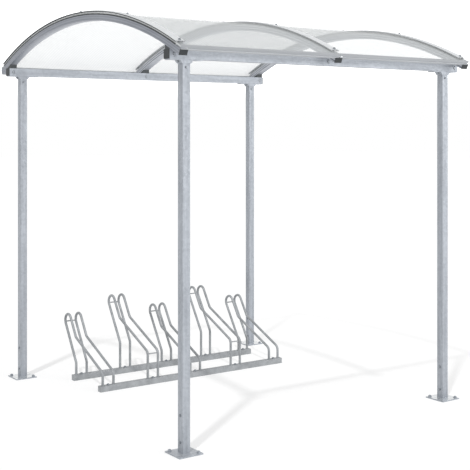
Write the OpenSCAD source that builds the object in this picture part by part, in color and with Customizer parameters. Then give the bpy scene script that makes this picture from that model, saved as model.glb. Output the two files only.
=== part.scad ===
/* [Frame] */
// Distance between post centres along the beams
bay_x = 2060; // [1600:10:2600]
// Distance between post centres from front to rear
bay_y = 2200; // [1800:10:2400]
// Height of the underside of the beams above the ground
beam_z = 2200; // [1900:10:2500]
// Outside width of the square posts
post_w = 50; // [40:1:60]
// Wall thickness of the posts
post_t = 3; // [2:0.5:5]
// Width of the beams, front to rear
beam_w = 56; // [50:1:70]
// Height of the beams
beam_h = 54; // [45:1:70]
// Wall thickness of the beams
beam_t = 3; // [2:0.5:5]
// Outside corner radius of the square tubes
corner_r = 1; // [1:0.5:4]
// Length of beam beyond the post centres, without its end caps
beam_overhang = 112; // [110:1:200]

/* [Feet] */
// Side of the square base plates
plate_w = 156; // [140:1:220]
// Thickness of the base plates
plate_t = 8; // [5:1:15]
// Distance between anchor hole centres along each side of a base plate
anchor_pitch = 118; // [100:1:120]
// Diameter of the anchor holes
anchor_d = 14; // [10:1:18]
// Height of the foot tube inside the post, above the base plate
foot_tube_h = 240; // [230:5:400]
// Wall thickness of the tubes that slide into the posts
spigot_t = 3; // [2:0.5:5]
// Gap between a post and the tubes inside it, on each side
spigot_gap = 0.3; // [0.1:0.1:1]
// Height of the lower foot bolt above the ground
foot_bolt_low = 65; // [50:1:90]
// Height of the upper foot bolt above the ground
foot_bolt_high = 216; // [150:1:220]
// Diameter of the bolt holes through posts and inner tubes
bolt_d = 9; // [6:0.5:14]

/* [Post heads] */
// Length of the head plate under a beam
head_l = 220; // [160:5:220]
// Thickness of the head plate
head_t = 5; // [3:1:10]
// Height of the flared collar below the head plate
collar_h = 18; // [10:1:30]
// Wall of the collar around the post
collar_t = 4; // [3:0.5:8]
// Reach of the collar's flare beyond its wall, at the head plate
flare_w = 14; // [5:1:30]
// Depth of the head's tube inside the post, below the head plate
head_tube_h = 75; // [65:1:120]
// Depth of the head bolt below the head plate
head_bolt_drop = 40; // [30:1:55]

/* [Arches] */
// Distance of the end arches beyond the post centres
arch_offset = 82; // [60:1:84]
// Width of the arch tube
arch_w = 52; // [40:1:56]
// Height of the arch tube
arch_h = 36; // [30:1:50]
// Wall thickness of the arch tube
arch_t = 3; // [2:0.5:4]
// Radius of the arch's underside
arch_r = 2760; // [2400:10:3400]
// Reach of the arches beyond the outer edges of the beams
arch_overhang = 94; // [60:1:160]
// Thickness of the arch seat at the outer edge of the beam
seat_min = 1.5; // [1:0.5:6]
// Height of the oblong holes in the beams below the arches
slot_l = 32; // [20:1:36]
// Width of the oblong holes in the beams
slot_w = 18; // [8:1:18]

/* [End caps] */
// Thickness of the end caps outside the tubes
cap_t = 4; // [2:1:10]
// Length of the plugs of the end caps inside the tubes
plug_l = 22; // [10:1:40]
// Gap between a plug and its tube
plug_gap = 0.3; // [0.1:0.1:1]

/* [Glazing] */
// Thickness of the roof sheets
sheet_t = 10; // [6:1:16]
// Distance of the sheets' lower edges behind the ends of the arches, along the slope
sheet_setback = 2; // [0:1:20]
// Distance of the sheets' outer edges inside the end arches' outer sides
sheet_inset = 1; // [1:1:20]
// Gap between the two roof sheets over the middle arch
sheet_gap = 8; // [4:1:12]
// Thickness of the gasket strips below the sheets
gasket_t = 8; // [2:0.5:10]
// Thickness of the gasket strips above the sheets
seal_t = 5; // [1.5:0.5:6]
// Width of each gasket strip
gasket_w = 14; // [6:1:16]
// Width of the cover strips
cover_w = 62; // [52:1:70]
// Thickness of the cover strips at their middle
cover_t = 6; // [4:0.5:10]
// Thickness of the cover strips at their edges
cover_edge_t = 2; // [1:0.5:4]
// Width of the flat top of the cover strips
cover_flat_w = 26; // [20:1:36]
// Distance of the cover strips' ends behind the ends of the arches, along the slope
cover_setback = 54; // [45:1:80]
// Distance of the outermost cover screws behind the ends of the cover strips
screw_end = 12; // [11:1:60]
// Width of the cover screws' hexagons across the corners
screw_d = 13; // [8:1:15]
// Height of the cover screws' heads
screw_h = 6; // [3:0.5:8]
// Diameter of the washers under the cover screws
washer_d = 19; // [12:1:20]
// Thickness of the washers under the cover screws
washer_t = 2; // [1:0.5:3]

/* [Eaves] */
// Wall thickness of the eave profiles
eave_t = 2; // [1.5:0.5:4]
// Reach of the eave profile's upper lip over the sheet
eave_lip = 11; // [10:1:40]
// Reach of the eave profile's lower lip under the sheet
eave_under_lip = 6; // [4:1:20]
// Length of the drip edge below the sheet
eave_drop = 16; // [5:1:25]
// Gap between a drip edge and the arches at its ends
eave_gap = 1; // [0.5:0.5:5]
// Gap between the eave profile and the sheet, on each side
eave_fit = 0.2; // [0.1:0.1:1]

/* [Bike rack] */
// Offset of the rack from the middle of the shelter along the beams
rack_x = 10; // [-60:5:60]
// Offset of the rack's middle behind the middle of the shelter
rack_y = 584; // [300:2:600]
// Number of wheel places
wheel_count = 5; // [5:1:5]
// Distance between wheel places
wheel_pitch = 360; // [300:5:370]
// Distance between the two hoops of a place
hoop_gap = 84; // [60:1:100]
// Diameter of the bent bars
bar_d = 18; // [12:1:20]
// Distance between the rails of the rack
rail_gap = 404; // [350:2:500]
// Width of the rails
rail_w = 40; // [30:1:60]
// Height of the rails
rail_h = 40; // [30:1:60]
// Wall thickness of the rails
rail_t = 2.5; // [2:0.5:5]
// Length of rail beyond the outermost hoops
rail_end = 24; // [16:1:100]
// Thickness of the plates that close the rails
rail_plate_t = 2; // [1:0.5:5]
// Height of the low hoops' tops, to the middle of the bar
hoop_top = 456; // [430:2:520]
// How much higher the high places stand
hoop_lift = 103; // [50:1:150]
// Height of the rear bend of the low hoops
rear_bend_z = 125; // [100:1:160]
// Height of the front kink of the low hoops
kink_z = 308; // [280:1:330]
// Lean of the hoops to the rear, from upright
hoop_lean = 33; // [20:1:36]
// Slope of the hoops' front stretch, from level
front_slope = 24; // [18:1:28]
// Bend radius at the top of the hoops
top_bend_r = 46; // [40:1:56]
// Straight length of bar between the two bends at the top of the hoops
top_flat = 4; // [2:1:20]
// Bend radius of the hoops' other bends
side_bend_r = 40; // [30:1:50]
// How much thicker the bent bars are in their bends
bend_swell = 0.2; // [0.2:0.1:0.6]
// Diameter of the bars that join the hoops of a place
stop_d = 9; // [6:1:12]
// Place of the wheel stops round the top bends of the hoops, in degrees below level
stop_turn = 14; // [0:1:30]
// Place of the front braces round the front bends of the high hoops, in degrees from upright
brace_turn = 16; // [4:1:30]

/* [Hidden] */
steel = "#a9aeb6";
aluminium = "#b7bac0";
charcoal = "#3a3f42";
rubber = "#2f3234";
polycarbonate = "#dfe4e8";
round_fn = 96;
cut = 1;
post_x = bay_x / 2;
post_y = bay_y / 2;
post_top = beam_z - head_t;
spigot_w = post_w - 2 * post_t - 2 * spigot_gap;
beam_top = beam_z + beam_h;
beam_l = bay_x + 2 * beam_overhang;
arch_x = post_x + arch_offset;
arch_xs = [-arch_x, 0, arch_x];
arch_reach = post_y + beam_w / 2 + arch_overhang;
arch_zc = beam_top + seat_min - sqrt(pow(arch_r, 2) - pow(post_y + beam_w / 2, 2));
tube_r = arch_r + arch_h;
sheet_r = tube_r + gasket_t;
seal_r = sheet_r + sheet_t;
cover_r = seal_r + seal_t;
arch_angle = asin(arch_reach / (arch_r + arch_h / 2));
cap_angle = cap_t / tube_r * 180 / PI;
plug_angle = plug_l / tube_r * 180 / PI;
sheet_angle = arch_angle - sheet_setback / sheet_r * 180 / PI;
cover_angle = arch_angle - cover_setback / cover_r * 180 / PI;
screw_angle = cover_angle - screw_end / cover_r * 180 / PI;
sheet_outer_x = arch_x + arch_w / 2 - sheet_inset;
sheet_w = sheet_outer_x - sheet_gap / 2;
sheet_mid_x = (sheet_outer_x + sheet_gap / 2) / 2;
wheel_xs = [for (i = [0 : wheel_count - 1]) rack_x + (i - (wheel_count - 1) / 2) * wheel_pitch];
rail_l = (wheel_count - 1) * wheel_pitch + hoop_gap + 2 * rail_end;
rear_rail_y = rack_y + rail_gap / 2;
front_rail_y = rack_y - rail_gap / 2;

// Rectangle with rounded corners, centred
module rounded(w, h, r) {
  square([w - 2 * r, h], center = true);
  square([w, h - 2 * r], center = true);
  for (x = [-1, 1]) for (y = [-1, 1])
    translate([x * (w / 2 - r), y * (h / 2 - r)]) circle(r = r, $fn = round_fn);
}

// Section of a cold-formed hollow section with wall t
module hollow_section(w, h, t) {
  difference() {
    rounded(w, h, corner_r);
    rounded(w - 2 * t, h - 2 * t, corner_r / 2);
  }
}

// Square tube standing on the ground plane
module square_tube(w, t, h) {
  linear_extrude(h) hollow_section(w, w, t);
}

// Bolt hole across the post, along X
module hole_x(z) {
  translate([-post_w, 0, z]) rotate([0, 90, 0]) cylinder(d = bolt_d, h = 2 * post_w, $fn = round_fn);
}

// Bolt hole across the post, along Y
module hole_y(z) {
  translate([0, post_w, z]) rotate([90, 0, 0]) cylinder(d = bolt_d, h = 2 * post_w, $fn = round_fn);
}

// Outline in the front-to-rear plane, drawn as (y, z) and given a width along X
module across_x(width) {
  translate([-width / 2, 0, 0]) rotate([90, 0, 90]) linear_extrude(width) children();
}

// Section drawn as (radius, x) and swept round the arch between two angles from the crown
module along_arch(from, to) {
  translate([0, 0, arch_zc]) rotate([90, 0, 90]) rotate([0, 0, 90 + from])
    rotate_extrude(angle = to - from, $fn = round_fn * 4) children();
}

// Rectangle in the arch section, centred on x
module arch_band(r, h, x, w) {
  translate([r, x - w / 2]) square([h, w]);
}

// Base plate with two anchor holes at opposite corners, and the tube that the post slides over
module foot(sx, sy) {
  color(steel) translate([sx * post_x, sy * post_y, 0]) difference() {
    union() {
      translate([-plate_w / 2, -plate_w / 2, 0]) cube([plate_w, plate_w, plate_t]);
      translate([0, 0, plate_t]) square_tube(spigot_w, spigot_t, foot_tube_h);
    }
    for (s = [-1, 1])
      translate([s * anchor_pitch / 2, -s * anchor_pitch / 2, -cut])
        cylinder(d = anchor_d, h = plate_t + 2 * cut, $fn = round_fn);
    hole_x(foot_bolt_low);
    hole_x(foot_bolt_high);
  }
}

// Square steel post, bolted to the foot tube and to the head tube
module post(sx, sy) {
  color(steel) translate([sx * post_x, sy * post_y, 0]) difference() {
    translate([0, 0, plate_t]) square_tube(post_w, post_t, post_top - plate_t);
    hole_x(foot_bolt_low);
    hole_x(foot_bolt_high);
    hole_y(post_top - head_bolt_drop);
  }
}

// Plate under the beam, with a flared collar round the post and a tube inside it
module post_head(sx, sy) {
  collar_w = post_w + 2 * spigot_gap + 2 * collar_t;
  color(steel) translate([sx * post_x, sy * post_y, post_top]) difference() {
    union() {
      translate([-head_l / 2, -beam_w / 2, 0]) cube([head_l, beam_w, head_t]);
      difference() {
        translate([0, collar_w / 2, 0]) rotate([90, 0, 0]) linear_extrude(collar_w)
          polygon([[-collar_w / 2, -collar_h], [collar_w / 2, -collar_h],
                   [collar_w / 2 + flare_w, 0], [-collar_w / 2 - flare_w, 0]]);
        translate([-post_w / 2 - spigot_gap, -post_w / 2 - spigot_gap, -collar_h - cut])
          cube([post_w + 2 * spigot_gap, post_w + 2 * spigot_gap, collar_h + cut]);
      }
      translate([0, 0, -head_tube_h]) square_tube(spigot_w, spigot_t, head_tube_h);
    }
    hole_y(-head_bolt_drop);
  }
}

// Oblong hole through both side walls of a beam
module beam_slot(x) {
  flat = slot_l - slot_w;
  translate([x, beam_w, beam_z + beam_h / 2]) rotate([90, 0, 0]) linear_extrude(2 * beam_w) {
    translate([-slot_w / 2, -flat / 2]) square([slot_w, flat]);
    for (s = [-1, 1]) translate([0, s * flat / 2]) circle(d = slot_w, $fn = round_fn);
  }
}

// Hollow beam over two posts, with an oblong hole under each arch
module beam(sy) {
  color(steel) translate([0, sy * post_y, 0]) difference() {
    translate([0, 0, beam_z + beam_h / 2]) across_x(beam_l) hollow_section(beam_w, beam_h, beam_t);
    for (x = arch_xs) beam_slot(x);
  }
}

// Plastic caps plugged into both ends of a beam
module beam_end_caps(sy) {
  plug_w = beam_w - 2 * beam_t - 2 * plug_gap;
  plug_h = beam_h - 2 * beam_t - 2 * plug_gap;
  color(charcoal) for (s = [-1, 1]) translate([s * beam_l / 2, sy * post_y, beam_z + beam_h / 2]) {
    translate([s * cap_t / 2, 0, 0]) across_x(cap_t) rounded(beam_w, beam_h, corner_r);
    translate([-s * plug_l / 2, 0, 0]) across_x(plug_l) rounded(plug_w, plug_h, corner_r / 2);
  }
}

// Height of the arch's underside at a distance from the middle
function arch_under(y) = arch_zc + sqrt(pow(arch_r, 2) - pow(y, 2));

// Wedges that seat the sloping arches on the level top of a beam
module arch_seats(sy) {
  inner = post_y - beam_w / 2;
  outer = post_y + beam_w / 2;
  color(charcoal) mirror([0, sy < 0 ? 1 : 0, 0]) for (x = arch_xs) translate([x, 0, 0])
    across_x(arch_w)
      polygon([[inner, beam_top], [outer, beam_top], [outer, arch_under(outer)], [inner, arch_under(inner)]]);
}

// Curved hollow tube that spans from the front beam to the rear beam
module arch(x) {
  color(aluminium) along_arch(-arch_angle, arch_angle) difference() {
    arch_band(arch_r, arch_h, x, arch_w);
    arch_band(arch_r + arch_t, arch_h - 2 * arch_t, x, arch_w - 2 * arch_t);
  }
}

// Plastic caps plugged into both ends of an arch
module arch_end_caps(x) {
  wall = arch_t + plug_gap;
  color(charcoal) for (s = [-1, 1]) mirror([0, s < 0 ? 1 : 0, 0]) {
    along_arch(arch_angle, arch_angle + cap_angle) arch_band(arch_r, arch_h, x, arch_w);
    along_arch(arch_angle - plug_angle, arch_angle)
      arch_band(arch_r + wall, arch_h - 2 * wall, x, arch_w - 2 * wall);
  }
}

// Rubber strips below and above the sheet edges, along both sides of an arch
module arch_gaskets(x) {
  color(rubber) for (s = [-1, 1]) along_arch(-cover_angle, cover_angle) {
    arch_band(tube_r, gasket_t, x + s * (arch_w - gasket_w) / 2, gasket_w);
    arch_band(seal_r, seal_t, x + s * (cover_w - gasket_w) / 2, gasket_w);
  }
}

// Curved sheet between an end arch and the middle arch
module roof_sheet(sx) {
  color(polycarbonate, 0.6) along_arch(-sheet_angle, sheet_angle)
    arch_band(sheet_r, sheet_t, sx * sheet_mid_x, sheet_w);
}

// Bar that clamps the sheets to an arch, with sloping edges
module cover_strip(x) {
  color(aluminium) along_arch(-cover_angle, cover_angle) translate([cover_r, x])
    polygon([[0, -cover_w / 2], [cover_edge_t, -cover_w / 2], [cover_t, -cover_flat_w / 2],
             [cover_t, cover_flat_w / 2], [cover_edge_t, cover_w / 2], [0, cover_w / 2]]);
}

// Hexagon heads with washers, spaced evenly along a cover strip
module cover_screws(x) {
  color(steel) for (i = [-2 : 2]) translate([x, 0, arch_zc]) rotate([i * screw_angle / 2, 0, 0])
    translate([0, 0, cover_r + cover_t]) {
      cylinder(d = washer_d, h = washer_t, $fn = round_fn);
      translate([0, 0, washer_t]) cylinder(d = screw_d, h = screw_h, $fn = 6);
    }
}

// Places a section drawn at the lower rear edge of a sheet, and gives it a width along X
module at_sheet_edge(width) {
  across_x(width) translate([0, arch_zc]) rotate(-sheet_angle) translate([0, sheet_r - eave_fit]) children();
}

// Channel that closes the front (-1) or rear (1) edge of the left (-1) or right (1) sheet,
// with a drip edge below it between the arches
module eave(sx, sy) {
  inside = sheet_t + 2 * eave_fit;
  wall = eave_fit + eave_t;
  color(aluminium) mirror([0, sy < 0 ? 1 : 0, 0]) {
    translate([sx * sheet_mid_x, 0, 0]) at_sheet_edge(sheet_w) {
      translate([-eave_lip, inside]) square([eave_lip + wall, eave_t]);
      translate([eave_fit, -eave_t]) square([eave_t, inside + 2 * eave_t]);
      translate([-eave_under_lip, -eave_t]) square([eave_under_lip + wall, eave_t]);
    }
    translate([sx * arch_x / 2, 0, 0]) at_sheet_edge(arch_x - arch_w - 2 * eave_gap)
      translate([eave_fit, -eave_t - eave_drop]) square([eave_t, eave_t + eave_drop]);
  }
}

// Rail of the rack, on the ground
module rack_rail(y) {
  color(steel) translate([rack_x, y, rail_h / 2]) across_x(rail_l) hollow_section(rail_w, rail_h, rail_t);
}

// Plates welded over the ends of the rails
module rack_rail_end_plates() {
  color(steel) for (s = [-1, 1]) for (y = [front_rail_y, rear_rail_y])
    translate([rack_x + s * (rail_l + rail_plate_t) / 2, y, rail_h / 2])
      across_x(rail_plate_t) rounded(rail_w, rail_h, corner_r);
}

// Corner points of a hoop's centre line as (y, z), from the rear foot to the front foot
function hoop_corners(lift) =
  let (
    along = [sin(hoop_lean), cos(hoop_lean)],
    forward = [-cos(hoop_lean), sin(hoop_lean)],
    bend = [rear_rail_y, rear_bend_z + lift],
    leg = (hoop_top + lift - top_bend_r * (1 + sin(hoop_lean)) - bend[1]) / cos(hoop_lean),
    top_rear = bend + along * (leg + top_bend_r),
    top_front = top_rear + forward * (2 * top_bend_r + top_flat),
    kink = top_front - along * (top_front[1] - kink_z - lift) / cos(hoop_lean),
    front = [front_rail_y, kink[1] - (kink[0] - front_rail_y) * tan(front_slope)]
  )
  [[rear_rail_y, rail_h], bend, top_rear, top_front, kink, front, [front_rail_y, rail_h]];

function unit(v) = v / norm(v);
function heading(v) = atan2(v[1], v[0]);
function turn(a, b) = let (t = heading(b) - heading(a)) t > 180 ? t - 360 : t < -180 ? t + 360 : t;

// Straight length cut off on each side of a corner by a bend of radius r
function setback(p, i, r) =
  i == 0 || i == len(p) - 1 ? 0 : r[i] * tan(abs(turn(p[i] - p[i - 1], p[i + 1] - p[i])) / 2);

// Round bar bent along corner points p with bend radii r, in the (y, z) plane
module bent_bar(p, r, d) {
  last = len(p) - 1;
  for (i = [0 : last - 1]) {
    dir = unit(p[i + 1] - p[i]);
    start = setback(p, i, r) - (i > 0 ? cut : 0);
    end = norm(p[i + 1] - p[i]) - setback(p, i + 1, r) + (i < last - 1 ? cut : 0);
    translate(p[i] + dir * start) rotate([0, 0, heading(dir)]) rotate([0, 90, 0])
      cylinder(d = d, h = end - start, $fn = round_fn / 2);
  }
  for (i = [1 : last - 1]) {
    before = unit(p[i] - p[i - 1]);
    bend = turn(p[i] - p[i - 1], p[i + 1] - p[i]);
    start = p[i] - before * setback(p, i, r);
    centre = start + sign(bend) * r[i] * [-before[1], before[0]];
    from = heading(start - centre) + min(bend, 0);
    translate(centre) rotate([0, 0, from]) rotate_extrude(angle = abs(bend), $fn = round_fn)
      translate([r[i], 0]) circle(d = d + bend_swell, $fn = round_fn / 2);
  }
}

// High places stand between low ones
function place_lift(i) = i % 2 == 1 ? hoop_lift : 0;

// The two bent bars of one wheel place
module rack_hoops(i) {
  radii = [0, side_bend_r, top_bend_r, top_bend_r, side_bend_r, side_bend_r, 0];
  color(steel) for (s = [-1, 1]) translate([wheel_xs[i] + s * hoop_gap / 2, 0, 0])
    rotate([90, 0, 90]) bent_bar(hoop_corners(place_lift(i)), radii, bar_d);
}

// Bar between the two hoops of a place, with ends shaped to bars of diameter d that lean to the rear
module joining_bar(i, at, lean, d) {
  translate([wheel_xs[i], at[0], at[1]]) difference() {
    translate([-hoop_gap / 2, 0, 0]) rotate([0, 90, 0])
      cylinder(d = stop_d, h = hoop_gap, $fn = round_fn / 2);
    for (s = [-1, 1]) translate([s * hoop_gap / 2, 0, 0]) rotate([-lean, 0, 0])
      translate([0, 0, -bar_d]) cylinder(d = d, h = 2 * bar_d, $fn = round_fn / 2);
  }
}

// Middle of the bend of radius r at corner i
function bend_centre(p, i, r) =
  let (to = unit(p[i - 1] - p[i]), on = unit(p[i + 1] - p[i]))
  p[i] + unit(to + on) * r / sin(acos(to * on) / 2);

// Wheel stops at the rear of the top bends, and braces in the front bends of the high places
module rack_joining_bars() {
  d = bar_d + 2 * bend_swell;
  color(steel) for (i = [0 : wheel_count - 1]) {
    corners = hoop_corners(place_lift(i));
    joining_bar(i, bend_centre(corners, 2, top_bend_r) + top_bend_r * [cos(stop_turn), -sin(stop_turn)],
                stop_turn, d);
    if (place_lift(i) > 0)
      joining_bar(i, bend_centre(corners, 5, side_bend_r) + side_bend_r * [-cos(brace_turn), sin(brace_turn)],
                  brace_turn, d);
  }
}

foot(-1, -1);  // front_left_foot
foot(1, -1);  // front_right_foot
foot(-1, 1);  // rear_left_foot
foot(1, 1);  // rear_right_foot
post(-1, -1);  // front_left_post
post(1, -1);  // front_right_post
post(-1, 1);  // rear_left_post
post(1, 1);  // rear_right_post
post_head(-1, -1);  // front_left_post_head
post_head(1, -1);  // front_right_post_head
post_head(-1, 1);  // rear_left_post_head
post_head(1, 1);  // rear_right_post_head
beam(-1);  // front_beam
beam(1);  // rear_beam
beam_end_caps(-1);  // front_beam_end_caps
beam_end_caps(1);  // rear_beam_end_caps
arch_seats(-1);  // front_arch_seats
arch_seats(1);  // rear_arch_seats
arch(-arch_x);  // left_arch
arch(0);  // middle_arch
arch(arch_x);  // right_arch
arch_end_caps(-arch_x);  // left_arch_end_caps
arch_end_caps(0);  // middle_arch_end_caps
arch_end_caps(arch_x);  // right_arch_end_caps
arch_gaskets(-arch_x);  // left_arch_gaskets
arch_gaskets(0);  // middle_arch_gaskets
arch_gaskets(arch_x);  // right_arch_gaskets
roof_sheet(-1);  // left_roof_sheet
roof_sheet(1);  // right_roof_sheet
cover_strip(-arch_x);  // left_cover_strip
cover_strip(0);  // middle_cover_strip
cover_strip(arch_x);  // right_cover_strip
cover_screws(-arch_x);  // left_cover_screws
cover_screws(0);  // middle_cover_screws
cover_screws(arch_x);  // right_cover_screws
eave(-1, -1);  // front_left_eave
eave(1, -1);  // front_right_eave
eave(-1, 1);  // rear_left_eave
eave(1, 1);  // rear_right_eave
rack_rail(front_rail_y);  // rack_front_rail
rack_rail(rear_rail_y);  // rack_rear_rail
rack_rail_end_plates();
rack_hoops(0);  // rack_place_1_hoops
rack_hoops(1);  // rack_place_2_hoops
rack_hoops(2);  // rack_place_3_hoops
rack_hoops(3);  // rack_place_4_hoops
rack_hoops(4);  // rack_place_5_hoops
rack_joining_bars();
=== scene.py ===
import math

import bpy
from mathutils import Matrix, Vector


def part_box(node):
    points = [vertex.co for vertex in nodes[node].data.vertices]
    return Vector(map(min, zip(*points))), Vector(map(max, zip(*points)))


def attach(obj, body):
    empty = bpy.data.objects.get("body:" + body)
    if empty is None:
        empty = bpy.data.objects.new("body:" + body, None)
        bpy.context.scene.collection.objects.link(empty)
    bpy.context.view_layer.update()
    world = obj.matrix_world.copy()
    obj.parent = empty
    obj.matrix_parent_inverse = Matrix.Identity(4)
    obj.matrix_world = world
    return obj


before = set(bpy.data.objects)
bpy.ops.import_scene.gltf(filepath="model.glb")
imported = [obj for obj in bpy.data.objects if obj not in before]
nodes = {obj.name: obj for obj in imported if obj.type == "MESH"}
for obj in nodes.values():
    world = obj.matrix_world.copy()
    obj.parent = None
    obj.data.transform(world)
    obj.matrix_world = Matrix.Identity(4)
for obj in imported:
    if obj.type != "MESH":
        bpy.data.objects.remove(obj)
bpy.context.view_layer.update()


# Posts, feet and post heads
# Square hollow sections and plates of structural steel, welded and dipped whole in molten zinc.
# Each post slides over the tube of its foot and of its head, and is bolted through both.

def linear(code):
    """Linear colour of an sRGB hex code, with alpha 1."""
    parts = [int(code[i:i + 2], 16) / 255 for i in (1, 3, 5)]
    return [c / 12.92 if c <= 0.04045 else ((c + 0.055) / 1.055) ** 2.4 for c in parts] + [1.0]


def feed(tree, node, inputs):
    """Sets each input of a node to a value, or links it to a socket."""
    for key, value in inputs.items():
        if isinstance(value, bpy.types.NodeSocket):
            tree.links.new(value, node.inputs[key])
        else:
            node.inputs[key].default_value = value


def add(tree, kind, settings=None, inputs=None):
    """Adds a node with its settings, and feeds its inputs."""
    node = tree.nodes.new(kind)
    for name, value in (settings or {}).items():
        setattr(node, name, value)
    feed(tree, node, inputs or {})
    return node


def new_finish(name):
    """A new material, its tree, the place on the piece in Object coordinates, and its shader."""
    material = bpy.data.materials.new(name)
    material.use_nodes = True
    tree = material.node_tree
    place = add(tree, "ShaderNodeTexCoord").outputs["Object"]
    return material, tree, place, tree.nodes["Principled BSDF"]


def finish_nodes(material, *names):
    """Gives CAD nodes their finish."""
    for name in names:
        for slot in nodes[name].material_slots:
            slot.material = material


# Hot-dip galvanised steel: zinc that froze in flat crystals, so a bluish grey that changes a little
# from one crystal to the next, with runs where the zinc drained and wide clouds of tone. The crystals
# are 8 mm across on the real steel and 14 mm here, so that they show.
crystal_width = 0.014
run_width, run_length = 0.02, 0.4
cloud_width = 0.25
skin_grain = 0.006
zinc_metallic = 0.35


def galvanised_steel(name, run_size):
    """Dipped steel whose zinc drained in runs of the given size along each axis."""
    material, tree, place, shader = new_finish(name)
    crystals = add(tree, "ShaderNodeTexVoronoi", {"feature": "F1"},
                   {"Vector": place, "Scale": 1 / crystal_width})
    crystal_tone = add(tree, "ShaderNodeSeparateColor", inputs={0: crystals.outputs["Color"]})
    drained = add(tree, "ShaderNodeMapping", inputs={
        0: place, "Scale": [1 / size for size in run_size]})
    runs = add(tree, "ShaderNodeTexNoise", inputs={
        "Vector": drained.outputs[0], "Scale": 1.0, "Detail": 3.0})
    clouds = add(tree, "ShaderNodeTexNoise", inputs={
        "Vector": place, "Scale": 1 / cloud_width, "Detail": 2.0})
    crystal_share, cloud_share = 0.2, 0.3
    tone = add(tree, "ShaderNodeMath", {"operation": "MULTIPLY_ADD"},
               {0: crystal_tone.outputs[0], 1: crystal_share, 2: runs.outputs[0]})
    tone = add(tree, "ShaderNodeMath", {"operation": "MULTIPLY_ADD"},
               {0: clouds.outputs[0], 1: cloud_share, 2: tone.outputs[0]})
    zinc = add(tree, "ShaderNodeValToRGB", inputs={0: tone.outputs[0]})
    zinc.color_ramp.elements[0].position = 0.45
    zinc.color_ramp.elements[0].color = linear("#90959c")
    zinc.color_ramp.elements[1].position = 1.0
    zinc.color_ramp.elements[1].color = linear("#aaafb6")
    dullness = add(tree, "ShaderNodeMapRange", inputs={
        "Value": crystal_tone.outputs[1], "To Min": 0.42, "To Max": 0.58})
    skin = add(tree, "ShaderNodeTexNoise", inputs={
        "Vector": place, "Scale": 1 / skin_grain, "Detail": 2.0})
    dents = add(tree, "ShaderNodeBump", inputs={
        "Height": skin.outputs[0], "Strength": 0.12, "Distance": 0.0006})
    feed(tree, shader, {
        "Base Color": zinc.outputs[0], "Metallic": zinc_metallic,
        "Roughness": dullness.outputs[0], "Normal": dents.outputs[0]})
    return material


upright_runs = (run_width, run_width, run_length)
galvanised = galvanised_steel("hot_dip_galvanised_posts", upright_runs)
corners = ("front_left", "front_right", "rear_left", "rear_right")
for corner in corners:
    finish_nodes(galvanised, corner + "_post", corner + "_post_head")

# The same zinc on the level base plates, where it lay smooth as it froze: seen at a low angle, the
# tops of the plates turn smoother and more metallic, and a painted reflection lifts their colour
# towards near-white, in patches some 40 mm across.
patch_width = 0.04
level_limit = 0.9
galvanised_plate = galvanised_steel("hot_dip_galvanised_plates", upright_runs)
tree = galvanised_plate.node_tree
shader = tree.nodes["Principled BSDF"]
zinc = shader.inputs["Base Color"].links[0].from_socket
dullness = shader.inputs["Roughness"].links[0].from_socket
slant = add(tree, "ShaderNodeLayerWeight", inputs={"Blend": 0.5}).outputs["Facing"]
low_view = add(tree, "ShaderNodeMapRange", inputs={
    "Value": slant, "From Min": 0.69, "From Max": 0.76, "To Min": 0.0, "To Max": 0.88})
normal = add(tree, "ShaderNodeNewGeometry").outputs["True Normal"]
facing = add(tree, "ShaderNodeSeparateXYZ", inputs={0: normal})
level = add(tree, "ShaderNodeMath", {"operation": "GREATER_THAN"},
            {0: facing.outputs["Z"], 1: level_limit})
gleam = add(tree, "ShaderNodeMath", {"operation": "MULTIPLY"},
            {0: low_view.outputs[0], 1: level.outputs[0]})
place = add(tree, "ShaderNodeTexCoord").outputs["Object"]
patches = add(tree, "ShaderNodeTexNoise", inputs={
    "Vector": place, "Scale": 1 / patch_width, "Detail": 2.0})
smooth = add(tree, "ShaderNodeMapRange", inputs={
    "Value": patches.outputs[0], "From Min": 0.4, "From Max": 0.6, "To Min": 0.7, "To Max": 1.0})
gleam = add(tree, "ShaderNodeMath", {"operation": "MULTIPLY"},
            {0: gleam.outputs[0], 1: smooth.outputs[0]})
# Painted reflection: at a low view the tops of the plates are coloured near-white.
painted_reflection = add(tree, "ShaderNodeMix", {"data_type": "RGBA"}, {
    0: gleam.outputs[0], 6: zinc, 7: linear("#eef0f1")})
polish = add(tree, "ShaderNodeMapRange", inputs={
    "Value": gleam.outputs[0], "To Min": dullness, "To Max": 0.12})
metal = add(tree, "ShaderNodeMapRange", inputs={
    "Value": gleam.outputs[0], "To Min": zinc_metallic, "To Max": 1.0})
feed(tree, shader, {
    "Base Color": painted_reflection.outputs[2], "Metallic": metal.outputs[0], "Roughness": polish.outputs[0]})
for corner in corners:
    finish_nodes(galvanised_plate, corner + "_foot")


# Bolts of the posts and anchors of the feet
# Hexagon bolts with flat washers through the posts, and small screws in the collars of the heads.
# Threaded anchors in the ground carry low nuts, dipped in zinc like the plates that they hold.

# Zinc-plated steel: a thin even coat, smoother than dipped zinc, greyed in specks 4 mm across.
speck_width = 0.004
plated, tree, place, shader = new_finish("zinc_plated_steel")
worn = add(tree, "ShaderNodeTexNoise", inputs={
    "Vector": place, "Scale": 1 / speck_width, "Detail": 2.0})
plating = add(tree, "ShaderNodeValToRGB", inputs={0: worn.outputs[0]})
plating.color_ramp.elements[0].color = linear("#7d8288")
plating.color_ramp.elements[1].color = linear("#a6aaaf")
dullness = add(tree, "ShaderNodeMapRange", inputs={
    "Value": worn.outputs[0], "To Min": 0.42, "To Max": 0.55})
feed(tree, shader, {
    "Base Color": plating.outputs[0], "Metallic": 0.8, "Roughness": dullness.outputs[0]})


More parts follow.
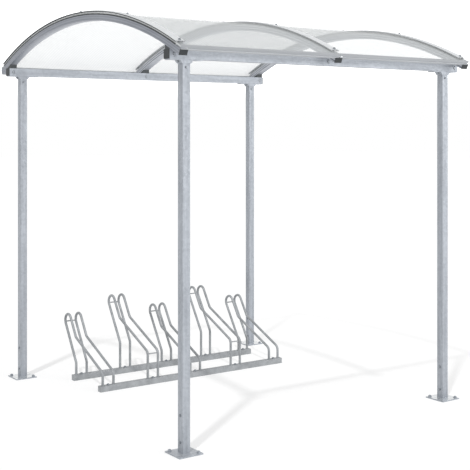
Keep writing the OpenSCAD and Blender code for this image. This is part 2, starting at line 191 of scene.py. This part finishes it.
def start_tree(name, points_label, size_labels, result_label):
    """A Geometry Nodes tree that takes points, sizes and a finish, and what its inputs give."""
    tree = bpy.data.node_groups.new(name, "GeometryNodeTree")
    tree.interface.new_socket(points_label, in_out="INPUT", socket_type="NodeSocketGeometry")
    for label in size_labels:
        tree.interface.new_socket(label, in_out="INPUT", socket_type="NodeSocketFloat")
    tree.interface.new_socket("Finish", in_out="INPUT", socket_type="NodeSocketMaterial")
    tree.interface.new_socket(result_label, in_out="OUTPUT", socket_type="NodeSocketGeometry")
    return tree, add(tree, "NodeGroupInput").outputs


# One fixing seen from outside: a washer, a hexagon with a chamfered crown, and the end of a stud.
crown_width_share, crown_foot_share, crown_height_share = 0.74, 0.86, 0.14
fixing_tree, given = start_tree("hexagon_fixing", "Spots", (
    "Washer Radius", "Washer Thickness", "Hexagon Radius", "Hexagon Height",
    "Stud Radius", "Stud Height"), "Fixings")
crown_radius = add(fixing_tree, "ShaderNodeMath", {"operation": "MULTIPLY"},
                   {0: given["Hexagon Radius"], 1: crown_width_share}).outputs[0]
crown_foot = add(fixing_tree, "ShaderNodeMath", {"operation": "MULTIPLY"},
                 {0: given["Hexagon Radius"], 1: crown_foot_share}).outputs[0]
crown_height = add(fixing_tree, "ShaderNodeMath", {"operation": "MULTIPLY"},
                   {0: given["Hexagon Height"], 1: crown_height_share}).outputs[0]
hexagon_top = add(fixing_tree, "ShaderNodeMath", {"operation": "ADD"},
                  {0: given["Washer Thickness"], 1: given["Hexagon Height"]}).outputs[0]
stages = (
    (32, given["Washer Radius"], given["Washer Radius"], given["Washer Thickness"], 0.0),
    (6, given["Hexagon Radius"], given["Hexagon Radius"], given["Hexagon Height"],
     given["Washer Thickness"]),
    (24, crown_foot, crown_radius, crown_height, hexagon_top),
    (16, given["Stud Radius"], given["Stud Radius"], given["Stud Height"], hexagon_top),
)
joined = add(fixing_tree, "GeometryNodeJoinGeometry")
for facets, bottom_radius, top_radius, depth, height in stages:
    solid = add(fixing_tree, "GeometryNodeMeshCone", inputs={
        "Vertices": facets, "Radius Bottom": bottom_radius, "Radius Top": top_radius, "Depth": depth})
    lift = add(fixing_tree, "ShaderNodeCombineXYZ", inputs={"Z": height})
    lifted = add(fixing_tree, "GeometryNodeTransform", inputs={
        "Geometry": solid.outputs["Mesh"], "Translation": lift.outputs[0]})
    feed(fixing_tree, joined, {0: lifted.outputs[0]})
outward = add(fixing_tree, "GeometryNodeInputNamedAttribute", {"data_type": "FLOAT_VECTOR"},
              {"Name": "outward"})
facing = add(fixing_tree, "FunctionNodeAlignRotationToVector", {"axis": "Z"},
             {"Vector": outward.outputs["Attribute"]})
copies = add(fixing_tree, "GeometryNodeInstanceOnPoints", inputs={
    "Points": given["Spots"], "Instance": joined.outputs[0], "Rotation": facing.outputs[0]})
real = add(fixing_tree, "GeometryNodeRealizeInstances", inputs={0: copies.outputs[0]})
finished = add(fixing_tree, "GeometryNodeSetMaterial", inputs={
    "Geometry": real.outputs[0], "Material": given["Finish"]})
add(fixing_tree, "NodeGroupOutput", inputs={0: finished.outputs[0]})


def grow(name, node_tree, values, points, outwards=None):
    """Piece grown by a node tree on points, which may each have a direction out of the surface."""
    mesh = bpy.data.meshes.new(name)
    mesh.from_pydata(points, [], [])
    if outwards:
        directions = mesh.attributes.new("outward", "FLOAT_VECTOR", "POINT")
        for spot, direction in zip(directions.data, outwards):
            spot.vector = direction
    grown = bpy.data.objects.new(name, mesh)
    modifier = grown.modifiers.new("grow", "NODES")
    modifier.node_group = node_tree
    for socket in node_tree.interface.items_tree:
        if socket.name in values:
            modifier[socket.identifier] = values[socket.name]
    bpy.context.scene.collection.objects.link(grown)
    evaluated = grown.evaluated_get(bpy.context.evaluated_depsgraph_get())
    plain = bpy.data.meshes.new_from_object(evaluated)
    grown.modifiers.clear()
    grown.data = plain
    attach(grown, "root")


post_half = 0.025
foot_bolt_heights = (0.065, 0.216)
head_bolt_height = 2.155
m8_bolt = {"Washer Radius": 0.0085, "Washer Thickness": 0.0016, "Hexagon Radius": 0.0072,
           "Hexagon Height": 0.0053, "Stud Radius": 0.002, "Stud Height": 0.0001, "Finish": plated}
points, outwards = [], []
for corner in corners:
    low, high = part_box(corner + "_post")
    middle = (low + high) / 2
    for side in (-1, 1):
        for height in foot_bolt_heights:
            points.append((middle.x + side * post_half, middle.y, height))
            outwards.append((side, 0, 0))
        points.append((middle.x, middle.y + side * post_half, head_bolt_height))
        outwards.append((0, side, 0))
grow("post_bolts", fixing_tree, m8_bolt, points, outwards)

collar_face = 0.0379
collar_screw_height = 2.188
collar_face_normal = (0.789, 0.0, -0.614)
set_screw = {"Washer Radius": 0.0065, "Washer Thickness": 0.0008, "Hexagon Radius": 0.0055,
             "Hexagon Height": 0.004, "Stud Radius": 0.002, "Stud Height": 0.0001, "Finish": plated}
points, outwards = [], []
for corner in corners:
    low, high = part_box(corner + "_post")
    middle = (low + high) / 2
    for side in (-1, 1):
        points.append((middle.x + side * collar_face, middle.y, collar_screw_height))
        outwards.append((side * collar_face_normal[0], 0, collar_face_normal[2]))
grow("collar_screws", fixing_tree, set_screw, points, outwards)

plate_thickness = 0.008
anchor_offset = 0.059
m12_anchor = {"Washer Radius": 0.012, "Washer Thickness": 0.0025, "Hexagon Radius": 0.0108,
              "Hexagon Height": 0.006, "Stud Radius": 0.006, "Stud Height": 0.003,
              "Finish": galvanised}
points, outwards = [], []
for corner in corners:
    low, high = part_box(corner + "_foot")
    middle = (low + high) / 2
    for side in (-1, 1):
        reach = side * anchor_offset
        points.append((middle.x + reach, middle.y - reach, plate_thickness))
        outwards.append((0, 0, 1))
grow("anchors", fixing_tree, m12_anchor, points, outwards)


# Beams
# Rectangular hollow sections laid on the post heads, galvanised like the posts.
# Their open ends are closed by push-in caps moulded in charcoal polyethylene.

# On the beams the runs of zinc lie lengthwise.
galvanised_beam = galvanised_steel("hot_dip_galvanised_beams", (run_length, run_width, run_width))
finish_nodes(galvanised_beam, "front_beam", "rear_beam")

# Moulded polyethylene: dull, between two close tones, with the fine grain of the mould. The grain is
# 0.5 mm on the real caps and 2 mm here, so that it shows.
mould_grain = 0.002


def moulded_polyethylene(name, dark, light):
    """Moulded plastic between two tones."""
    material, tree, place, shader = new_finish(name)
    grain = add(tree, "ShaderNodeTexNoise", inputs={
        "Vector": place, "Scale": 1 / mould_grain, "Detail": 3.0})
    plastic = add(tree, "ShaderNodeValToRGB", inputs={0: grain.outputs[0]})
    plastic.color_ramp.elements[0].color = linear(dark)
    plastic.color_ramp.elements[1].color = linear(light)
    pits = add(tree, "ShaderNodeBump", inputs={
        "Height": grain.outputs[0], "Strength": 0.2, "Distance": 0.0004})
    feed(tree, shader, {
        "Base Color": plastic.outputs[0], "Roughness": 0.55, "IOR": 1.51, "Normal": pits.outputs[0]})
    return material


polyethylene = moulded_polyethylene("charcoal_polyethylene", "#1f2326", "#2f3437")
finish_nodes(polyethylene, "front_beam_end_caps", "rear_beam_end_caps")


# Arches
# Aluminium tube extruded straight and rolled to a curve, mill finish.
# Each end rests on a grey polyethylene wedge on its beam and is closed by a push-in cap.

# Mill-finish aluminium: a dull pale metal with fine lines along the tube from the die. The lines are
# under 1 mm apart on the real tube and 4 mm here, so that they show. Painted shade darkens the end
# arches towards their outer sides, and dark lines of painted shade mark two grooves along each side,
# fainter towards those outer sides.
die_line_size = (0.004, 0.5, 0.03)
arch_outer_radius = 2.796
groove_pitch = 0.016
groove_depth_below_top = 0.010
end_arch_inner, end_arch_outer = (corner.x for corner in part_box("right_arch"))
arch_centre = (0.0, 0.0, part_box("left_arch")[1].z - arch_outer_radius)
mill_aluminium, tree, place, shader = new_finish("mill_finish_aluminium")
drawn = add(tree, "ShaderNodeMapping", inputs={
    0: place, "Scale": [1 / size for size in die_line_size]})
die_lines = add(tree, "ShaderNodeTexNoise", inputs={
    "Vector": drawn.outputs[0], "Scale": 1.0, "Detail": 3.0})
metal = add(tree, "ShaderNodeValToRGB", inputs={0: die_lines.outputs[0]})
metal.color_ramp.elements[0].position = 0.3
metal.color_ramp.elements[0].color = linear("#adb1b8")
metal.color_ramp.elements[1].position = 0.7
metal.color_ramp.elements[1].color = linear("#c3c6cc")
across = add(tree, "ShaderNodeSeparateXYZ", inputs={0: place})
aside = add(tree, "ShaderNodeMath", {"operation": "ABSOLUTE"}, {0: across.outputs["X"]})
outside = add(tree, "ShaderNodeMapRange", inputs={
    "Value": aside.outputs[0], "From Min": end_arch_inner, "From Max": end_arch_outer})
# Painted shade: the end arches are darker towards their outer sides, so the middle arch stands lighter.
outer_side_painted_shade = add(tree, "ShaderNodeMix", {"data_type": "RGBA", "blend_type": "MULTIPLY"}, {
    0: outside.outputs[0], 6: metal.outputs[0], 7: linear("#c6c8cc")})
spoke = add(tree, "ShaderNodeVectorMath", {"operation": "SUBTRACT"}, {0: place, 1: arch_centre})
spoke = add(tree, "ShaderNodeVectorMath", {"operation": "MULTIPLY"},
            {0: spoke.outputs[0], 1: (0.0, 1.0, 1.0)})
radius = add(tree, "ShaderNodeVectorMath", {"operation": "LENGTH"}, {0: spoke.outputs[0]})
below = add(tree, "ShaderNodeMath", {"operation": "SUBTRACT"}, {
    0: arch_outer_radius - groove_depth_below_top, 1: radius.outputs["Value"]})
turn = add(tree, "ShaderNodeMath", {"operation": "MULTIPLY"},
           {0: below.outputs[0], 1: 2 * math.pi / groove_pitch})
ripple = add(tree, "ShaderNodeMath", {"operation": "COSINE"}, {0: turn.outputs[0]})
# Painted shade of the grooves: dark lines along each side, fainter towards the outer sides of the end
# arches.
groove_shade_strength = add(tree, "ShaderNodeMapRange", inputs={
    "Value": outside.outputs[0], "To Min": 1.0, "To Max": 0.4})
groove = add(tree, "ShaderNodeMapRange", inputs={
    "Value": ripple.outputs[0], "From Min": 0.1, "From Max": 0.8, "To Max": groove_shade_strength.outputs[0]})
groove_painted_shade = add(tree, "ShaderNodeMix", {"data_type": "RGBA", "blend_type": "MULTIPLY"}, {
    0: groove.outputs[0], 6: outer_side_painted_shade.outputs[2], 7: linear("#94979b")})
dullness = add(tree, "ShaderNodeMapRange", inputs={
    "Value": die_lines.outputs[0], "To Min": 0.34, "To Max": 0.46})
scores = add(tree, "ShaderNodeBump", inputs={
    "Height": die_lines.outputs[0], "Strength": 0.1, "Distance": 0.0003})
feed(tree, shader, {
    "Base Color": groove_painted_shade.outputs[2], "Metallic": 0.55,
    "Roughness": dullness.outputs[0], "Normal": scores.outputs[0]})
sides = ("left", "middle", "right")
for side in sides:
    finish_nodes(mill_aluminium, side + "_arch")
    finish_nodes(polyethylene, side + "_arch_end_caps")
grey_polyethylene = moulded_polyethylene("grey_polyethylene", "#303437", "#424749")
finish_nodes(grey_polyethylene, "front_arch_seats", "rear_arch_seats")


# Arch bolts
# A bolt in each oblong hole of the beams holds an arch down on its seat. Its head stands in the hole
# on a round clamp plate inside the beam. Zinc-plated steel.

beam_wall_inside = 0.025
clamp_thickness = 0.003
clamp_gap = 0.0002
arch_bolt = {"Washer Radius": 0.021, "Washer Thickness": clamp_thickness, "Hexagon Radius": 0.0075,
             "Hexagon Height": 0.0052, "Stud Radius": 0.002, "Stud Height": 0.0001,
             "Finish": plated}
clamp_back = beam_wall_inside - clamp_thickness - clamp_gap
points, outwards = [], []
for beam in ("front_beam", "rear_beam"):
    low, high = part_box(beam)
    middle = (low + high) / 2
    for arch in sides:
        arch_low, arch_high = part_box(arch + "_arch")
        for side in (-1, 1):
            points.append(((arch_low.x + arch_high.x) / 2, middle.y + side * clamp_back, middle.z))
            outwards.append((0, side, 0))
grow("arch_bolts", fixing_tree, arch_bolt, points, outwards)


# Gaskets
# Strips of black EPDM rubber pressed between the arch, the sheet edges and the cover strip.
# Their cut ends are sealed with grey silicone.

# EPDM rubber: matt and nearly black, with a bloom in patches 30 mm across. It shows as dark lines
# along the outer sides of the end arches, and is coloured pale grey on the middle arch and on the inner
# halves of the end arches.
bloom_width = 0.03
end_limit = 0.7
epdm, tree, place, shader = new_finish("epdm_rubber")
bloom = add(tree, "ShaderNodeTexNoise", inputs={
    "Vector": place, "Scale": 1 / bloom_width, "Detail": 3.0})
rubber = add(tree, "ShaderNodeValToRGB", inputs={0: bloom.outputs[0]})
rubber.color_ramp.elements[0].color = linear("#26292b")
rubber.color_ramp.elements[1].color = linear("#3a3e40")
across = add(tree, "ShaderNodeSeparateXYZ", inputs={0: place})
aside = add(tree, "ShaderNodeMath", {"operation": "ABSOLUTE"}, {0: across.outputs["X"]})
inside = add(tree, "ShaderNodeMath", {"operation": "LESS_THAN"}, {
    0: aside.outputs[0], 1: (end_arch_inner + end_arch_outer) / 2})
# Pale grey on the middle arch and on the inner halves of the end arches.
pale_inside = add(tree, "ShaderNodeMix", {"data_type": "RGBA"}, {
    0: inside.outputs[0], 6: rubber.outputs[0], 7: linear("#9a9d9f")})
normal = add(tree, "ShaderNodeNewGeometry").outputs["True Normal"]
facing = add(tree, "ShaderNodeSeparateXYZ", inputs={0: normal})
endwise = add(tree, "ShaderNodeMath", {"operation": "ABSOLUTE"}, {0: facing.outputs["Y"]})
cut_end = add(tree, "ShaderNodeMath", {"operation": "GREATER_THAN"},
              {0: endwise.outputs[0], 1: end_limit})
sealed = add(tree, "ShaderNodeMix", {"data_type": "RGBA"}, {
    0: cut_end.outputs[0], 6: pale_inside.outputs[2], 7: linear("#b2b5b7")})
feed(tree, shader, {"Base Color": sealed.outputs[2], "Roughness": 0.7, "IOR": 1.52})
for side in sides:
    finish_nodes(epdm, side + "_arch_gaskets")


# Roof sheets
# Twin-wall polycarbonate, extruded with hollow cells that run from eave to eave and bent cold.
# Clear plastic, made milky by the two skins and the ribs between them.

# Twin-wall polycarbonate: the ribs between the cells show as fine pale lines, and painted shade darkens
# the sheets where they are seen from above.
# The ribs are 11 mm apart on the real sheet and 22 mm here, so that they show.
rib_pitch = 0.022
polycarbonate, tree, place, shader = new_finish("twin_wall_polycarbonate")
across = add(tree, "ShaderNodeSeparateXYZ", inputs={0: place})
phase = add(tree, "ShaderNodeMath", {"operation": "MULTIPLY"},
            {0: across.outputs["X"], 1: 2 * math.pi / rib_pitch})
wave = add(tree, "ShaderNodeMath", {"operation": "SINE"}, {0: phase.outputs[0]})
rib = add(tree, "ShaderNodeMapRange", inputs={
    "Value": wave.outputs[0], "From Min": 0.6, "From Max": 1.0})
plastic = add(tree, "ShaderNodeMix", {"data_type": "RGBA"}, {
    0: rib.outputs[0], 6: linear("#c8cbcc"), 7: linear("#cfd2d3")})
normal = add(tree, "ShaderNodeNewGeometry").outputs["True Normal"]
facing = add(tree, "ShaderNodeSeparateXYZ", inputs={0: normal})
# Painted shade: the sheets are darker where they are seen from above than from below.
upper = add(tree, "ShaderNodeMath", {"operation": "GREATER_THAN"}, {0: facing.outputs["Z"], 1: 0.0})
top_painted_shade = add(tree, "ShaderNodeMix", {"data_type": "RGBA", "blend_type": "MULTIPLY"}, {
    0: upper.outputs[0], 6: plastic.outputs[2], 7: linear("#eeefef")})
skins = add(tree, "ShaderNodeMapRange", inputs={
    "Value": rib.outputs[0], "To Min": 0.44, "To Max": 0.46})
sideways = add(tree, "ShaderNodeMath", {"operation": "ABSOLUTE"}, {0: facing.outputs["X"]})
body = add(tree, "ShaderNodeMapRange", inputs={
    "Value": sideways.outputs[0], "From Min": 0.4, "From Max": 0.6,
    "To Min": skins.outputs[0], "To Max": 0.9})
feed(tree, shader, {
    "Base Color": top_painted_shade.outputs[2], "Roughness": 0.3, "Specular IOR Level": 0.05, "IOR": 1.58,
    "Alpha": body.outputs[0]})
# The clear sheets let the light past: they cast no shadow and put no tint on other pieces.
for side in ("left", "right"):
    finish_nodes(polycarbonate, side + "_roof_sheet")
    nodes[side + "_roof_sheet"].visible_shadow = False
    nodes[side + "_roof_sheet"].visible_diffuse = False
    nodes[side + "_roof_sheet"].visible_glossy = False


# Cover strips and eaves
# Extruded aluminium, anodised. The cover strips are screwed down over the sheet edges with hexagon
# screws, and the eave channels with their drip edges are pushed over the lower edges of the sheets.

# Anodised aluminium: greyer than the mill-finish arches, satin, with faint lines along the profile.
# The lines are under 1 mm apart on the real profile and 5 mm here, so that they show.
faint_line_size = (0.5, 0.5, 0.005)
anodised, tree, place, shader = new_finish("anodised_aluminium")
drawn = add(tree, "ShaderNodeMapping", inputs={
    0: place, "Scale": [1 / size for size in faint_line_size]})
faint_lines = add(tree, "ShaderNodeTexNoise", inputs={
    "Vector": drawn.outputs[0], "Scale": 1.0, "Detail": 2.0})
satin = add(tree, "ShaderNodeValToRGB", inputs={0: faint_lines.outputs[0]})
satin.color_ramp.elements[0].position = 0.3
satin.color_ramp.elements[0].color = linear("#9fa2a6")
satin.color_ramp.elements[1].position = 0.7
satin.color_ramp.elements[1].color = linear("#acafb2")
feed(tree, shader, {"Base Color": satin.outputs[0], "Metallic": 0.75, "Roughness": 0.4})
finish_nodes(anodised, "front_left_eave", "front_right_eave")

# A half-round bead along the outer face of each eave, extruded with it.
bead_tree, given = start_tree("eave_bead", "Eaves", ("Length", "Radius"), "Beads")
rod = add(bead_tree, "GeometryNodeMeshCylinder", inputs={
    "Vertices": 24, "Radius": given["Radius"], "Depth": given["Length"]})
lying = add(bead_tree, "GeometryNodeTransform", inputs={
    "Geometry": rod.outputs["Mesh"], "Rotation": (0.0, math.pi / 2, 0.0)})
copies = add(bead_tree, "GeometryNodeInstanceOnPoints", inputs={
    "Points": given["Eaves"], "Instance": lying.outputs[0]})
real = add(bead_tree, "GeometryNodeRealizeInstances", inputs={0: copies.outputs[0]})
finished = add(bead_tree, "GeometryNodeSetMaterial", inputs={
    "Geometry": real.outputs[0], "Material": given["Finish"]})
add(bead_tree, "NodeGroupOutput", inputs={0: finished.outputs[0]})

eave_lean = math.radians(26.1)
eave_face_height = 0.0304
bead_radius = 0.003
bead_rise = 0.009
bead_proud = 0.0012
bead_end_gap = 0.0005
inset = (eave_face_height - bead_rise) * math.sin(eave_lean) - bead_proud * math.cos(eave_lean)
rise = bead_rise * math.cos(eave_lean) - bead_proud * math.sin(eave_lean)
points = []
for eave in corners:
    low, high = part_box(eave + "_eave")
    bead_y = low.y + inset if eave.startswith("front") else high.y - inset
    points.append(((low.x + high.x) / 2, bead_y, low.z + rise))
bead = {"Length": high.x - low.x - 2 * bead_end_gap, "Radius": bead_radius, "Finish": anodised}
grow("eave_beads", bead_tree, bead, points)

# Pale anodised aluminium: nearly white, smoother than the front eaves, with a thin film of dirt in
# patches 50 mm across. On the rear eaves this paler copy of the eave finish is painted light on their
# shaded inner faces.
film_width = 0.05
pale_anodised_and_painted_light, tree, place, shader = new_finish("pale_anodised_aluminium_and_painted_light")
film = add(tree, "ShaderNodeTexNoise", inputs={
    "Vector": place, "Scale": 1 / film_width, "Detail": 2.0})
pale = add(tree, "ShaderNodeValToRGB", inputs={0: film.outputs[0]})
pale.color_ramp.elements[0].position = 0.3
pale.color_ramp.elements[0].color = linear("#cfd2d4")
pale.color_ramp.elements[1].position = 0.7
pale.color_ramp.elements[1].color = linear("#dadcde")
feed(tree, shader, {"Base Color": pale.outputs[0], "Metallic": 0.4, "Roughness": 0.35})
# Painted light: the rear eaves take the paler copy of the eave finish.
finish_nodes(pale_anodised_and_painted_light, "rear_left_eave", "rear_right_eave")
for side in sides:
    finish_nodes(pale_anodised_and_painted_light, side + "_cover_strip")
    finish_nodes(plated, side + "_cover_screws")


# Bike rack
# Two square rails on the ground carry bent round bars in pairs, welded on and galvanised with them.
# Round bars join the two hoops of each wheel place.

# Galvanised steel gone dull from wheels and weather: a flat neutral grey, darker than the posts, with
# blotches some 60 mm across.
blotch_width = 0.06
dull_zinc, tree, place, shader = new_finish("weathered_galvanised_steel")
blotches = add(tree, "ShaderNodeTexNoise", inputs={
    "Vector": place, "Scale": 1 / blotch_width, "Detail": 3.0})
worn_zinc = add(tree, "ShaderNodeValToRGB", inputs={0: blotches.outputs[0]})
worn_zinc.color_ramp.elements[0].position = 0.3
worn_zinc.color_ramp.elements[0].color = linear("#8b8e91")
worn_zinc.color_ramp.elements[1].position = 0.7
worn_zinc.color_ramp.elements[1].color = linear("#a4a7aa")
feed(tree, shader, {
    "Base Color": worn_zinc.outputs[0], "Metallic": zinc_metallic, "Roughness": 0.55})
rails = ("rack_front_rail", "rack_rear_rail")
places = [f"rack_place_{i}_hoops" for i in range(1, 6)]
finish_nodes(dull_zinc, *rails, *places, "rack_rail_end_plates", "rack_joining_bars")

# Weld beads round the feet of the hoops, a little uneven from the torch, galvanised with the rack.
weld_ripple = 0.006
noise_middle = 0.5
weld_tree, given = start_tree(
    "weld_bead", "Feet", ("Bar Radius", "Bead Radius", "Unevenness"), "Beads")
path = add(weld_tree, "GeometryNodeCurvePrimitiveCircle", inputs={
    "Resolution": 36, "Radius": given["Bar Radius"]})
section = add(weld_tree, "GeometryNodeCurvePrimitiveCircle", inputs={
    "Resolution": 12, "Radius": given["Bead Radius"]})
ring = add(weld_tree, "GeometryNodeCurveToMesh", inputs={0: path.outputs[0], 1: section.outputs[0]})
copies = add(weld_tree, "GeometryNodeInstanceOnPoints", inputs={
    "Points": given["Feet"], "Instance": ring.outputs[0]})
real = add(weld_tree, "GeometryNodeRealizeInstances", inputs={0: copies.outputs[0]})
ripples = add(weld_tree, "ShaderNodeTexNoise", {"noise_dimensions": "3D"},
              {"Scale": 1 / weld_ripple, "Detail": 1.0})
swell = add(weld_tree, "ShaderNodeMath", {"operation": "SUBTRACT"},
            {0: ripples.outputs[0], 1: noise_middle})
push = add(weld_tree, "ShaderNodeMath", {"operation": "MULTIPLY"},
           {0: swell.outputs[0], 1: given["Unevenness"]})
facing = add(weld_tree, "GeometryNodeInputNormal")
shift = add(weld_tree, "ShaderNodeVectorMath", {"operation": "SCALE"},
            {0: facing.outputs[0], "Scale": push.outputs[0]})
uneven = add(weld_tree, "GeometryNodeSetPosition", inputs={
    "Geometry": real.outputs[0], "Offset": shift.outputs[0]})
smooth = add(weld_tree, "GeometryNodeSetShadeSmooth", inputs={"Geometry": uneven.outputs[0]})
finished = add(weld_tree, "GeometryNodeSetMaterial", inputs={
    "Geometry": smooth.outputs[0], "Material": given["Finish"]})
add(weld_tree, "NodeGroupOutput", inputs={0: finished.outputs[0]})

# Each hoop foot has its weld, and the rails are bolted down between the two hoops of each place.
bar_radius = 0.009
weld_stand_off = 0.001
weld = {"Bar Radius": bar_radius + weld_stand_off, "Bead Radius": 0.0032, "Unevenness": 0.0025,
        "Finish": dull_zinc}
rail_bolt = {"Washer Radius": 0.016, "Washer Thickness": 0.0025, "Hexagon Radius": 0.0092,
             "Hexagon Height": 0.0064, "Stud Radius": 0.002, "Stud Height": 0.0001,
             "Finish": plated}
hoop_feet, bolt_spots = [], []
for name in places:
    low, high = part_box(name)
    for rail in rails:
        rail_low, rail_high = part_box(rail)
        rail_y = (rail_low.y + rail_high.y) / 2
        for foot_x in (low.x + bar_radius, high.x - bar_radius):
            hoop_feet.append((foot_x, rail_y, rail_high.z))
        bolt_spots.append(((low.x + high.x) / 2, rail_y, rail_high.z))
grow("hoop_welds", weld_tree, weld, hoop_feet)
grow("rail_bolts", fixing_tree, rail_bolt, bolt_spots, [(0, 0, 1)] * len(bolt_spots))


# Studio
# A pale floor that brightens away from the sun, so that the shadows fade, and a white surround. One
# sun gives the faint shadows, and a soft box stands in front.

scene = bpy.context.scene
scene.view_settings.view_transform = "Standard"
sun_side = Vector((-0.8, -0.6, 0.0))

# The surround is white to the camera and in reflections, and brighter behind the clear roof. Its light
# on the pieces is weaker.
world = bpy.data.worlds.new("white_surround")
world.use_nodes = True
scene.world = world
tree = world.node_tree
seen = add(tree, "ShaderNodeLightPath").outputs
mirrored = add(tree, "ShaderNodeMapRange", inputs={
    "Value": seen["Is Glossy Ray"], "To Min": 0.6, "To Max": 1.0})
heading = add(tree, "ShaderNodeTexCoord").outputs["Generated"]
upward = add(tree, "ShaderNodeSeparateXYZ", inputs={0: heading})
backdrop = add(tree, "ShaderNodeMapRange", inputs={
    "Value": upward.outputs["Z"], "From Min": 0.03, "From Max": 0.058, "To Min": 1.0, "To Max": 1.8})
level = add(tree, "ShaderNodeMapRange", inputs={
    "Value": seen["Is Camera Ray"], "To Min": mirrored.outputs[0], "To Max": backdrop.outputs[0]})
feed(tree, tree.nodes["Background"], {"Color": linear("#ffffff"), "Strength": level.outputs[0]})

floor_half = 60.0
floor_corners = [(x * floor_half, y * floor_half, 0.0) for x, y in ((-1, -1), (1, -1), (1, 1), (-1, 1))]
floor_mesh = bpy.data.meshes.new("floor")
floor_mesh.from_pydata(floor_corners, [], [(0, 1, 2, 3)])
floor = bpy.data.objects.new("floor", floor_mesh)
scene.collection.objects.link(floor)
pale_floor, tree, place, shader = new_finish("pale_floor")
tree.nodes.remove(shader)
away = add(tree, "ShaderNodeVectorMath", {"operation": "DOT_PRODUCT"}, {0: place, 1: -sun_side})
fade = add(tree, "ShaderNodeMapRange", inputs={
    "Value": away.outputs["Value"], "From Min": 0.3, "From Max": 2.8})
grey = add(tree, "ShaderNodeMapRange", inputs={
    "Value": fade.outputs[0], "To Min": 0.5, "To Max": 0.15})
glow = add(tree, "ShaderNodeMapRange", inputs={
    "Value": fade.outputs[0], "To Min": 0.52, "To Max": 0.88})
paint = add(tree, "ShaderNodeBsdfDiffuse", inputs={"Color": grey.outputs[0]})
shine = add(tree, "ShaderNodeEmission", inputs={"Strength": glow.outputs[0]})
both = add(tree, "ShaderNodeAddShader", inputs={0: paint.outputs[0], 1: shine.outputs[0]})
feed(tree, tree.nodes["Material Output"], {"Surface": both.outputs[0]})
floor_mesh.materials.append(pale_floor)

sun = bpy.data.objects.new("sun", bpy.data.lights.new("sun", "SUN"))
sun.data.energy = 1.3
sun.data.angle = math.radians(2.5)
sun_height = math.radians(58.0)
toward_sun = sun_side * math.cos(sun_height) + Vector((0.0, 0.0, math.sin(sun_height)))
sun.rotation_euler = toward_sun.to_track_quat("Z", "Y").to_euler()
scene.collection.objects.link(sun)

soft_box = bpy.data.objects.new("soft_box", bpy.data.lights.new("soft_box", "AREA"))
soft_box.data.shape = "RECTANGLE"
soft_box.data.size = 8.0
soft_box.data.size_y = 5.0
soft_box.data.energy = 380.0
soft_box.location = (5.5, -9.0, 3.0)
lit_spot = Vector((0.0, 0.0, 1.4))
soft_box.rotation_euler = (soft_box.location - lit_spot).to_track_quat("Z", "Y").to_euler()
soft_box.visible_camera = False
scene.collection.objects.link(soft_box)

camera = bpy.data.objects.new("camera", bpy.data.cameras.new("camera"))
camera.location = (-4.1343, -5.9794, 1.8033)
camera.rotation_euler = (math.radians(90.0), 0.0, math.radians(-35.286))
camera.data.sensor_width = 36.0
camera.data.lens = 79.24
camera.data.shift_y = -0.2224
scene.collection.objects.link(camera)
scene.camera = camera
